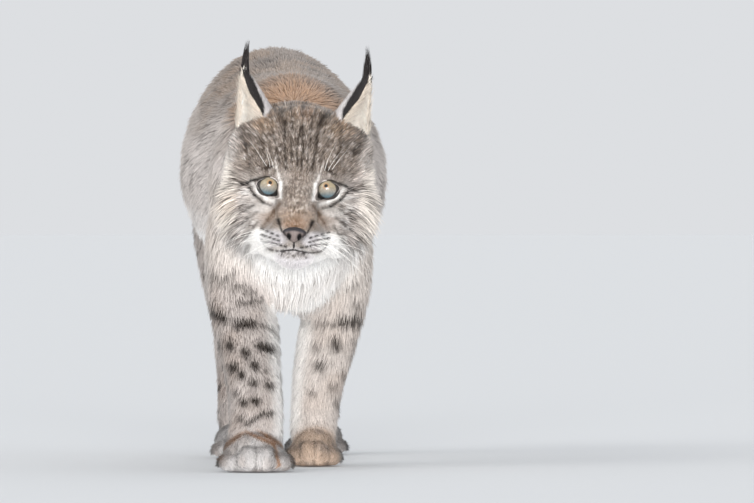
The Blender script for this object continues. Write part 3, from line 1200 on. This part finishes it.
def build_eye(name, side, material):
    """Eyeball turned to its gaze: rings by the angle v from the pupil's middle, with a slight cornea. The
    colours are a round pupil, a pale iris with fine spokes that turns bluish below, and a dark ring."""
    rings, sides = 64, 96
    gaze = unit(GAZE * (side, 1, 1))
    across = unit(np.cross(gaze, (0, 0, 1.0)))
    up = np.cross(across, gaze)
    v = (np.linspace(0, 1, rings + 2)[1:-1] ** 1.35 * math.pi)[:, None]
    u = np.arange(sides)[None] * 2 * math.pi / sides
    bulge = EYE_RADIUS * (1 + 0.045 * np.exp(-((v / 0.62) ** 4)) * np.ones_like(u))
    way = (
        np.cos(v)[..., None] * gaze
        + (np.sin(v) * np.cos(u))[..., None] * across
        + (np.sin(v) * np.sin(u))[..., None] * up
    )
    centre = np.array((EYE_SPREAD * side, EYE_DEPTH, 0.0))
    grid = centre + way * bulge[..., None]
    points, faces = capped_tube(grid, centre + gaze * EYE_RADIUS * 1.045, centre - gaze * EYE_RADIUS)
    made = surface(f"eyeball_{name}", from_head(points), faces)
    off = unit(points - centre)
    angle = np.arccos(np.clip(off @ gaze, -1, 1))
    turn = np.arctan2(off @ up, off @ across)
    spokes = noise(np.stack([np.cos(turn) * 9, np.sin(turn) * 9, angle * 2.2], 1), 0.42, 71)
    below = step(0.000, -0.009, points[:, 2] - 0.10 * (np.abs(points[:, 0]) - EYE_SPREAD))
    iris = over(np.tile(tone(146, 134, 110), (len(points), 1)), step(0.0050, -0.0015, points[:, 2]), tone(144, 136, 124))
    iris = over(iris, below, tone(76, 102, 112))
    iris = iris * (0.72 + 0.45 * spokes)[:, None]
    around = np.hypot(points[:, 0] - EYE_SPREAD * side, points[:, 2])
    iris = over(iris, step(0.0090, 0.0102, around + 0.0007 * step(0, -0.006, points[:, 2])) * 0.95, tone(30, 26, 24))
    iris = over(iris, step(0.26, 0.12, angle / IRIS_ANGLE) * 0.55, tone(160, 112, 66))
    iris = over(iris, step(PUPIL_ANGLE * 1.15, PUPIL_ANGLE * 0.9, angle), tone(6, 5, 5))
    paint(made, iris)
    return finished(made, material, "eye", f"eye_{name}")


def build_lids(name, side, tree, material):
    """Lids as a band round the opening: the first rows lie on the eyeball, the middle ones roll over the rim,
    and the last sink under the hair of the face."""
    sides = 120
    u = np.arange(sides) * 2 * math.pi / sides
    rim = lid_reach(u)
    rows = []
    # Distance out from the rim and height before the face, in millimetres.
    profile = [(-0.9, -2.6), (-0.5, -0.8), (-0.2, 0.2), (0.4, 0.70), (0.9, 0.75), (1.5, 0.5), (2.3, -0.5), (3.8, -2.8)]
    far = face_depth(tree, (EYE_SPREAD + np.cos(u) * (rim + 0.0042)) * side, np.sin(u) * (rim + 0.0042))
    far = np.minimum(far, 0.012)
    for out, height in profile:
        reach = rim + out / 1000
        x, z = np.cos(u) * reach, np.sin(u) * reach
        ball_front = EYE_DEPTH - np.sqrt(np.maximum((EYE_RADIUS * 1.02) ** 2 - reach**2, 0.0))
        share = step(-0.6, 2.6, out)
        depth = np.minimum(ball_front, 0.0085) * (1 - share) + np.minimum(far, ball_front + 0.002) * share
        rows.append(np.stack([(EYE_SPREAD + x) * side, depth - height / 1000, z], 1))
    grid = np.array(rows)
    points = grid.reshape(-1, 3)
    faces = grid_faces(len(profile), sides)
    made = surface(name, from_head(points), faces[:, ::-1] if side > 0 else faces)
    colours = np.tile(tone(30, 24, 22), (len(points), 1))
    dark = 0.45 + 1.15 * step(-0.15, -0.75, np.sin(u))
    outer = np.concatenate([step(dark, dark + 0.9, row[0]) for row in profile])
    colours = over(colours, outer * 0.85, PALE_GREY)
    paint(made, colours)
    return finished(made, material, "coat")


def build_nose(material):
    """Nose pad: a ball drawn narrow below and flat in front, with two comma-shaped pits for the nostrils and
    a groove down the middle."""
    rings, sides = 60, 90
    v = np.linspace(0, math.pi, rings + 2)[1:-1][:, None]
    u = np.arange(sides)[None] * 2 * math.pi / sides
    grid = np.stack([np.sin(v) * np.cos(u), -np.sin(v) * np.sin(u), np.cos(v) * np.ones_like(u)], -1)

    def shaped(p):
        x, y, z = np.moveaxis(p, -1, 0)
        x = x * (0.38 + 0.68 * step(-0.92, 0.45, z))
        pit = np.exp(-(((np.abs(x) - 0.42) / 0.17) ** 2) - ((z + 0.32 - 0.8 * (np.abs(x) - 0.42)) / 0.32) ** 2)
        groove = np.exp(-((x / 0.07) ** 2)) * step(0.5, -0.3, z)
        y = y + (0.95 * pit + 0.16 * groove) * (y < 0.1)
        return np.stack([x, y, z], -1) * (NOSE_HALF * (1.04, 1.06, 1.10)), pit

    local, pit = shaped(grid)
    turned = turn_matrix("X", NOSE_PITCH)
    poles = shaped(np.array(((0, 0, 1.0), (0, 0, -1.0))))[0]
    points, faces = capped_tube(local @ turned.T + NOSE_PLACE, *(poles @ turned.T + NOSE_PLACE))
    made = surface("nose_pad", from_head(points), faces)
    raw = np.vstack([grid.reshape(-1, 3), (0, 0, 1.0), (0, 0, -1.0)])
    depth = np.r_[pit.ravel(), 0, 0]
    colours = np.tile(tone(120, 108, 104), (len(points), 1)) * (0.82 + 0.3 * noise(points, 0.0011, 81))[:, None]
    colours = over(colours, step(0.10, 0.42, raw[:, 2] + 0.25 * np.abs(raw[:, 0])) * 0.94, tone(30, 29, 36))
    colours = over(colours, step(0.66, 0.92, np.abs(raw[:, 0])) * 0.85, tone(38, 31, 30))
    colours = over(colours, step(0.15, 0.50, depth), tone(10, 7, 7))
    paint(made, colours)
    return finished(made, material, "nose_leather", "nose")


def strip(name, line, width, tree, material, raise_by=0.0006):
    """A soft rounded strip of dark skin laid on the face along a line seen from the front: half a tube whose
    width swells in the middle."""
    line = np.asarray(line)
    steps, sides = len(line), 8
    ahead = unit(np.gradient(line, axis=0))
    across = np.stack([-ahead[:, 1], ahead[:, 0]], 1)
    turn = np.linspace(0, math.pi, sides)
    swell = width * (0.35 + 0.65 * np.sin(np.linspace(0.05, 0.95, steps) * math.pi))
    flat = line[:, None] + across[:, None] * (np.cos(turn)[None] * swell[:, None])[..., None]
    depth = face_depth(tree, line[:, 0], line[:, 1])[:, None] - raise_by - 0.7 * np.sin(turn)[None] * swell[:, None]
    depth[:, [0, -1]] += 0.0020
    grid = np.stack([flat[..., 0], depth, flat[..., 1]], -1)
    points = grid.reshape(-1, 3)
    faces = grid_faces(steps, sides, closed=False)
    made = surface(name, from_head(points), faces)
    paint(made, np.tile(tone(28, 22, 22), (len(points), 1)))
    return finished(made, material, "nose_leather")


def hair_tubes(name, roots, ways, bends, lengths, radius, colours, places, material, slot, rings=9, sides=5):
    """Thin round hairs: a circle carried along root + way * t + bend * t squared, tapering to the tip."""
    t = np.linspace(0, 1, rings)
    path = (
        roots[:, None]
        + ways[:, None] * (lengths[:, None] * t)[..., None]
        + bends[:, None] * (lengths[:, None] * t**2)[..., None]
    )
    ahead = unit(ways)
    side = unit(np.cross(ahead, np.array((0.13, 0.2, 0.97))))
    up = np.cross(side, ahead)
    turn = np.arange(sides) * 2 * math.pi / sides
    ring = np.cos(turn)[:, None] * side[:, None] + np.sin(turn)[:, None] * up[:, None]
    taper = np.maximum(1 - t, 0.04) ** 0.8
    thick = np.broadcast_to(np.asarray(radius), (len(roots),))
    grid = path[:, :, None] + ring[:, None] * (thick[:, None] * taper)[..., None, None]
    count = len(roots)
    points = grid.reshape(-1, 3)
    quads = grid_faces(rings, sides)
    faces = (quads[None] + (np.arange(count) * rings * sides)[:, None, None]).reshape(-1, 4).tolist()
    for k in range(count):
        start = k * rings * sides
        faces.append(tuple(range(start, start + sides)))
        faces.append(tuple(range(start + rings * sides - sides, start + rings * sides))[::-1])
    made = surface(name, points, faces)
    face_outwards(made)
    paint(made, np.repeat(colours, rings * sides, axis=0))
    corner = np.stack(np.meshgrid(np.linspace(-0.5, 0.5, sides), t - 0.5), -1).reshape(-1, 2)
    lay_patches(made.data, places, corner)
    return finished(made, material, slot)


def build_whiskers(tree, material):
    """White whiskers from the spots of the muzzle and a few over each eye, bent back and down."""
    draw = np.random.default_rng(SEED + 1)
    roots, ways, bends, lengths = [], [], [], []
    spots_here = whisker_spots()
    for side in (1, -1):
        for x, z in spots_here:
            if draw.random() < 0.35 or x < 0.019:
                continue
            depth = face_depth(tree, [x * side], [z])[0]
            roots.append((x * side, depth, z))
            ways.append((side * draw.uniform(0.75, 0.95), -0.35, draw.uniform(-0.30, 0.22)))
            bends.append((0.0, 0.40, draw.uniform(-0.62, -0.30)))
            lengths.append(draw.uniform(0.040, 0.082) * (0.6 + 12 * (x - 0.010)))
        for k in range(3):
            x, z = 0.028 + 0.004 * k, 0.020 + 0.001 * k
            depth = face_depth(tree, [x * side], [z])[0]
            roots.append((x * side, depth, z))
            ways.append((side * draw.uniform(0.1, 0.6), -0.55, 0.75))
            bends.append((side * 0.2, 0.5, 0.15))
            lengths.append(draw.uniform(0.020, 0.038))
    roots, ways, bends = (np.array(row, float) for row in (roots, ways, bends))
    lengths = np.minimum(np.array(lengths), 0.078)
    colours = np.tile(tone(246, 243, 238), (len(roots), 1))
    return hair_tubes(
        "whiskers", from_head(roots), unit(ways) @ HEAD_TURN.T, bends @ HEAD_TURN.T, lengths, 0.00024, colours,
        head_map(roots), material, "coat", rings=14,
    )


# Ears.


# How far the front edge of the ear reaches round from its back, for heights from foot to tip.
FRONT_REACH = ((0.0, 0.38, 0.52, 0.64, 0.82, 1.0), (88, 87, 94, 106, 110, 104))
# Where the black band of the ear's front edge begins, round the back, for heights from foot to tip.
BAND_EDGE = ((0.28, 0.41, 0.55, 0.68, 0.80, 0.90, 1.0), (1.03, 0.81, 0.67, 0.57, 0.38, -0.12, -1.2))


def ear_frame(side):
    """The ear's foot, its axis, the way its cup opens and the way across it, for one side."""
    flip = np.array((side, 1.0, 1.0))
    up = unit(EAR_TIP - EAR_BASE)
    opens = np.array((math.sin(EAR_OPENS), -math.cos(EAR_OPENS), 0.0))
    opens = unit(opens - up * (opens @ up))
    across = np.cross(up, opens)
    return EAR_BASE * flip, up * flip, opens * flip, across * flip, np.linalg.norm(EAR_TIP - EAR_BASE)


def ear_point(side, v, s, thick):
    """Point of the ear's cup: v runs from foot to tip, s from one rim round the back to the other, and the
    radius closes in to a point; thick moves it in from the outer side."""
    base, up, opens, across, length = ear_frame(side)
    v, s = np.broadcast_arrays(v, s)
    half = np.radians(np.where(s > 0, np.interp(v, *FRONT_REACH), 122 - 34 * v))
    angle = math.pi + half * s
    radius = EAR_RADIUS * np.clip(1 - v, 0, 1) ** 0.80 + 0.0012 - thick
    middle = base + up * (length * (v * (1 + EAR_ROOT) - EAR_ROOT))[..., None]
    way = opens * np.cos(angle)[..., None] + across * np.sin(angle)[..., None]
    return middle + way * np.maximum(radius, 0.0003)[..., None]


def ear_map(v, s):
    """Place of a root on the unwrap of an ear."""
    return np.stack([0.5 + 0.49 * s, 0.01 + 0.98 * v], 1)


def ear_colour(v, s, inside, seed_points):
    """Colours of an ear: cream inside, a grey-white patch on the back, and a black band along the front edge
    that widens from the foot to the whole tip, with a narrower one behind."""
    back = np.tile(tone(226, 221, 222), (len(v), 1))
    front_edge = np.interp(v, *BAND_EDGE)
    edge = np.maximum(step(front_edge - 0.05, front_edge + 0.05, s), step(-0.55, -0.75, s) * step(0.62, 0.80, v))
    back = over(back, edge * 0.98, tone(28, 23, 23))
    back = over(back, step(-0.80, -0.92, s) * step(0.97, 0.90, v) * 0.9, CREAM)
    back = over(back, step(0.32, 0.14, v) * 0.85, TAUPE)
    inner = over(np.tile(tone(252, 243, 232), (len(v), 1)), step(0.10, 0.90, s) * 0.70, tone(222, 206, 178))
    inner = over(inner, step(0.88, 0.99, v) * 0.7, DARK)
    inner = over(inner, step(0.30, 0.02, v) * 0.35, tone(188, 168, 150))
    colour = np.where(inside[:, None], inner, back)
    return colour * (0.88 + 0.24 * noise(seed_points, 0.0035, 91))[:, None]


def build_ear(name, side, skin_material, coat_material, node):
    """The cup of an ear with its thin wall, hair on its back, long pale hair across its mouth, and the tuft."""
    rows, sides = 34, 41
    v = np.linspace(0, 1, rows)[:, None]
    s = np.linspace(-1, 1, sides)[None]
    outer = ear_point(side, v, s, 0.0012)
    inner = ear_point(side, v, s, 0.0012 + EAR_WALL * (1 - 0.5 * v))
    ring = np.concatenate([outer, inner[:, ::-1]], axis=1)
    points, faces = capped_tube(ring, ring[0].mean(axis=0), ring[-1].mean(axis=0))
    cup = surface(name, from_head(points), faces)
    face_outwards(cup)
    vv = np.repeat(v[:, 0], 2 * sides)
    ss = np.tile(np.r_[s[0], s[0, ::-1]], rows)
    inside = np.tile(np.r_[np.zeros(sides, bool), np.ones(sides, bool)], rows)
    colours = ear_colour(vv, ss, inside, ring.reshape(-1, 3))
    paint(cup, np.vstack([colours, colours[:1], colours[-1:]]))
    finished(cup, skin_material, "ear_coat", node)
    draw = np.random.default_rng(SEED + 5 + side)
    base, up, opens, across, length = ear_frame(side)
    # Hair on the back and inside of the cup.
    for part, count, inward in (("back", 12000, False), ("inside", 8500, True)):
        v = 1 - np.sqrt(draw.uniform(0.004, 1, count)) if not inward else 1 - np.sqrt(draw.uniform(0.01, 0.86, count))
        v = np.clip(v, 0.12 if not inward else 0.16, 0.985)
        s = draw.uniform(-1, 1, count)
        thick = 0.0012 if not inward else 0.0012 + EAR_WALL
        root = ear_point(side, v, s, thick)
        ahead = unit(ear_point(side, np.minimum(v + 0.03, 1.0), s, thick) - root + up * 0.002)
        axis = base + up * (length * (v * (1 + EAR_ROOT) - EAR_ROOT))[:, None]
        normal = unit(root - axis) * (1 if not inward else -1)
        reach = (0.0062 + 0.002 * (1 - v)) * draw.uniform(0.75, 1.2, count)
        lift = np.radians(np.full(count, 17.0) + draw.normal(0, 4, count))
        if inward:
            # The rims carry long hair that lies across the mouth of the cup.
            rim = step(0.45, 0.95, np.abs(s))
            reach = reach * (1 + 1.5 * rim)
            lift = np.radians(24 + 22 * rim)
            ahead = unit(ahead + unit(np.cross(normal, up)) * (rim * np.sign(s) * 0.2)[:, None] + up * 0.4)
        broad = np.full(count, 0.00080 if not inward else 0.00062) * draw.uniform(0.8, 1.2, count)
        sag = np.zeros((count, 3))
        turned = normal @ HEAD_TURN.T
        made, facing, faces, per = tuft_shapes(
            from_head(root), turned, turned, ahead @ HEAD_TURN.T, reach, broad, lift, sag, draw, False
        )
        shade = ear_colour(v, s, np.full(count, inward), root)
        shade = tuft_colours(shade, per, draw, 0.03, np.zeros(count), np.full(count, 0.10))
        coat_piece(f"{name}_hair_{part}", made, facing, faces, per, shade, ear_map(v, s), coat_material, "ear_coat")
    # The tuft: stiff black hairs from the tip that lean together.
    count = 90
    v = draw.uniform(0.86, 0.995, count)
    s = draw.uniform(-0.8, 0.8, count)
    root = ear_point(side, v, s, 0.001)
    target = TUFT_TIP * (side, 1, 1) + draw.normal(0, 0.0016, (count, 3))
    way = target - root
    lengths = np.linalg.norm(way, axis=1) * draw.uniform(0.55, 1.0, count)
    ways = unit(way + up * 0.010)
    bends = (unit(way) - ways)
    colours = np.tile(tone(26, 21, 20), (count, 1)) * draw.uniform(0.7, 1.9, (count, 1))
    hair_tubes(
        f"{name}_tuft", from_head(root), ways @ HEAD_TURN.T, bends @ HEAD_TURN.T, lengths, 0.00042, colours,
        ear_map(v, s), coat_material, "ear_coat", rings=7, sides=4,
    )
    # A fringe of short pale hairs along the outer rim.
    count = 800
    v = 1 - np.sqrt(draw.uniform(0.008, 0.80, count))
    s = -draw.uniform(0.90, 1.0, count)
    root = ear_point(side, v, s, 0.0018)
    axis = base + up * (length * (v * (1 + EAR_ROOT) - EAR_ROOT))[:, None]
    ways = unit(unit(root - axis) * 0.55 + up * 0.9 + draw.normal(0, 0.16, (count, 3)))
    colours = np.tile(tone(246, 238, 224), (count, 1)) * draw.uniform(0.8, 1.0, (count, 1))
    hair_tubes(
        f"{name}_fringe", from_head(root), ways @ HEAD_TURN.T, np.tile(up * 0.2, (count, 1)) @ HEAD_TURN.T,
        draw.uniform(0.0030, 0.0058, count), 0.00026, colours, ear_map(v, s), coat_material, "ear_coat",
        rings=4, sides=3,
    )
    # Long pale hairs that stand out of the cup.
    count = 420
    v = draw.uniform(0.20, 0.80, count)
    edge = np.where(draw.random(count) < 0.75, 1, -1) * draw.uniform(0.72, 0.98, count)
    root = ear_point(side, v, edge, 0.0018)
    axis = base + up * (length * (v * (1 + EAR_ROOT) - EAR_ROOT))[:, None]
    ways = unit(unit(axis - root) * 0.75 + opens * 0.55 + up * draw.uniform(0.5, 1.1, (count, 1)))
    bends = np.tile(up * 0.25, (count, 1)) + draw.normal(0, 0.10, (count, 3))
    lengths = EAR_RADIUS * (1 - v) ** 0.6 * draw.uniform(0.55, 1.05, count)
    colours = np.tile(tone(240, 228, 214), (count, 1)) * draw.uniform(0.65, 1.0, (count, 1))
    hair_tubes(
        f"{name}_long_hair", from_head(root), ways @ HEAD_TURN.T, bends @ HEAD_TURN.T, lengths, 0.00030, colours,
        ear_map(v, edge), coat_material, "ear_coat", rings=6, sides=4,
    )


# The animal.

tone_group = hair_tone_group()
coat_finish = attribute_material("lynx_coat", tone_group, 420, 0.10, 0.62, 0.22, 0.0, sheen=0.12)
skin_finish = attribute_material("lynx_skin", tone_group, 260, 0.30, 0.80, 0.12, 0.6)
eye_finish = attribute_material("lynx_eye", tone_group, 900, 0.06, 0.35, 0.35, 0.0, coat=0.6)
lid_finish = attribute_material("lid_skin", tone_group, 700, 0.15, 0.38, 0.45, 0.4)
leather_finish = attribute_material("nose_leather", tone_group, 1500, 0.16, 0.42, 0.45, 0.5)
whisker_finish = attribute_material("whisker_hair", tone_group, 200, 0.05, 0.40, 0.4, 0.0)

skin = build_skin()
skin_points, skin_normals = points_of(skin), normals_of(skin)
skin_weights, skin_along = parts_at(skin_points)
skin_colours = coat_colour(skin_points, skin_normals, skin_weights, skin_along)
paint(skin, skin_colours * (0.64 + 0.30 * step(0.20, 0.75, skin_colours.mean(axis=1)))[:, None])
finished(
    skin, skin_finish, "coat", "head", "neck", "torso", "tail", *LEG_NAMES, *PAWS
)
build_coat(skin, coat_finish)
face_tree = skin_tree(skin)
for label, side in (("left", 1), ("right", -1)):
    build_eye(label, side, eye_finish)
    build_lids(f"lids_{label}", side, face_tree, lid_finish)
    build_ear(f"ear_cup_{label}", side, skin_finish, coat_finish, f"ear_{label}")
build_nose(leather_finish)
half_mouth = smooth_rows(MOUTH[:2], 12)
mouth_line = np.vstack([half_mouth[:0:-1] * (-1, 1), half_mouth])
strip("lips", mouth_line, 0.0013, face_tree, leather_finish)
philtrum = np.stack([np.zeros(10), np.linspace(PHILTRUM_TOP, MOUTH[0][1], 10)], 1)
strip("philtrum", philtrum, 0.0014, face_tree, leather_finish)
build_whiskers(face_tree, whisker_finish)


# Floor, light and camera.


def plain_material(name, colour, roughness):
    material = bpy.data.materials.new(name)
    material.use_nodes = True
    shader = material.node_tree.nodes["Principled BSDF"]
    shader.inputs["Base Color"].default_value = (*colour, 1)
    shader.inputs["Roughness"].default_value = roughness
    return material


def build_floor():
    """A wide flat floor, far past the camera on every side."""
    half = 120.0
    mesh = bpy.data.meshes.new("floor")
    corners = [(-half, -half, 0), (half, -half, 0), (half, half, 0), (-half, half, 0)]
    mesh.from_pydata(corners, [], [(0, 1, 2, 3)])
    floor = bpy.data.objects.new("floor", mesh)
    bpy.context.scene.collection.objects.link(floor)
    floor.data.materials.append(plain_material("pale_floor", tuple(tone(209, 211, 213)), 0.9))


def soft_sun(name, way, strength, spread, colour, shadows=True):
    """A broad even light that shines along a way, with soft shadows from its spread in degrees."""
    data = bpy.data.lights.new(name, "SUN")
    data.energy = strength
    data.angle = math.radians(spread)
    data.use_shadow = shadows
    data.color = colour
    lamp = bpy.data.objects.new(name, data)
    lamp.rotation_euler = Vector(way).to_track_quat("-Z", "Y").to_euler()
    bpy.context.scene.collection.objects.link(lamp)


def build_lights():
    world = bpy.data.worlds.new("studio")
    bpy.context.scene.world = world
    world.use_nodes = True
    back = world.node_tree.nodes["Background"]
    back.inputs["Color"].default_value = (0.95, 0.97, 1.0, 1)
    back.inputs["Strength"].default_value = 0.76
    soft_sun("key", (0.85, 0.65, -0.60), 0.8, 30, (1.0, 0.985, 0.96))
    soft_sun("front", (0.04, 1.0, -0.08), 3.9, 24, (1.0, 0.99, 0.975))
    # The light that pale ground gives back from below.
    soft_sun("ground_light", (0.0, 0.75, 0.66), 0.95, 40, (1.0, 1.0, 1.0), shadows=False)
    soft_sun("back", (-0.2, -0.8, -0.7), 0.5, 40, (1.0, 1.0, 1.0))


def build_camera():
    """Camera far off before the animal, just over the height of its chest, framed as the photo is."""
    azimuth, distance, per_pixel, eye_pixel = math.radians(-1.8), 9.0, 0.0011, (297.9, 217.0)
    frame_centre = (377.0, 251.5)
    data = bpy.data.cameras.new("camera")
    data.sensor_width = 36.0
    data.lens = 36.0 * distance / (754 * per_pixel)
    camera = bpy.data.objects.new("camera", data)
    head = Vector(HEAD_PLACE + UNDER_NOSE)
    back = Vector((math.sin(azimuth), -math.cos(azimuth), 0))
    right = Vector((math.cos(azimuth), math.sin(azimuth), 0))
    place = head + back * distance
    place.z = 0.28
    aim = head + right * ((frame_centre[0] - eye_pixel[0]) * per_pixel)
    aim.z = place.z - (frame_centre[1] - eye_pixel[1]) * per_pixel
    camera.location = place
    camera.rotation_euler = (aim - place).to_track_quat("-Z", "Y").to_euler()
    bpy.context.scene.collection.objects.link(camera)
    bpy.context.scene.camera = camera


build_floor()
build_lights()
build_camera()
bpy.context.scene.view_settings.view_transform = "Standard"
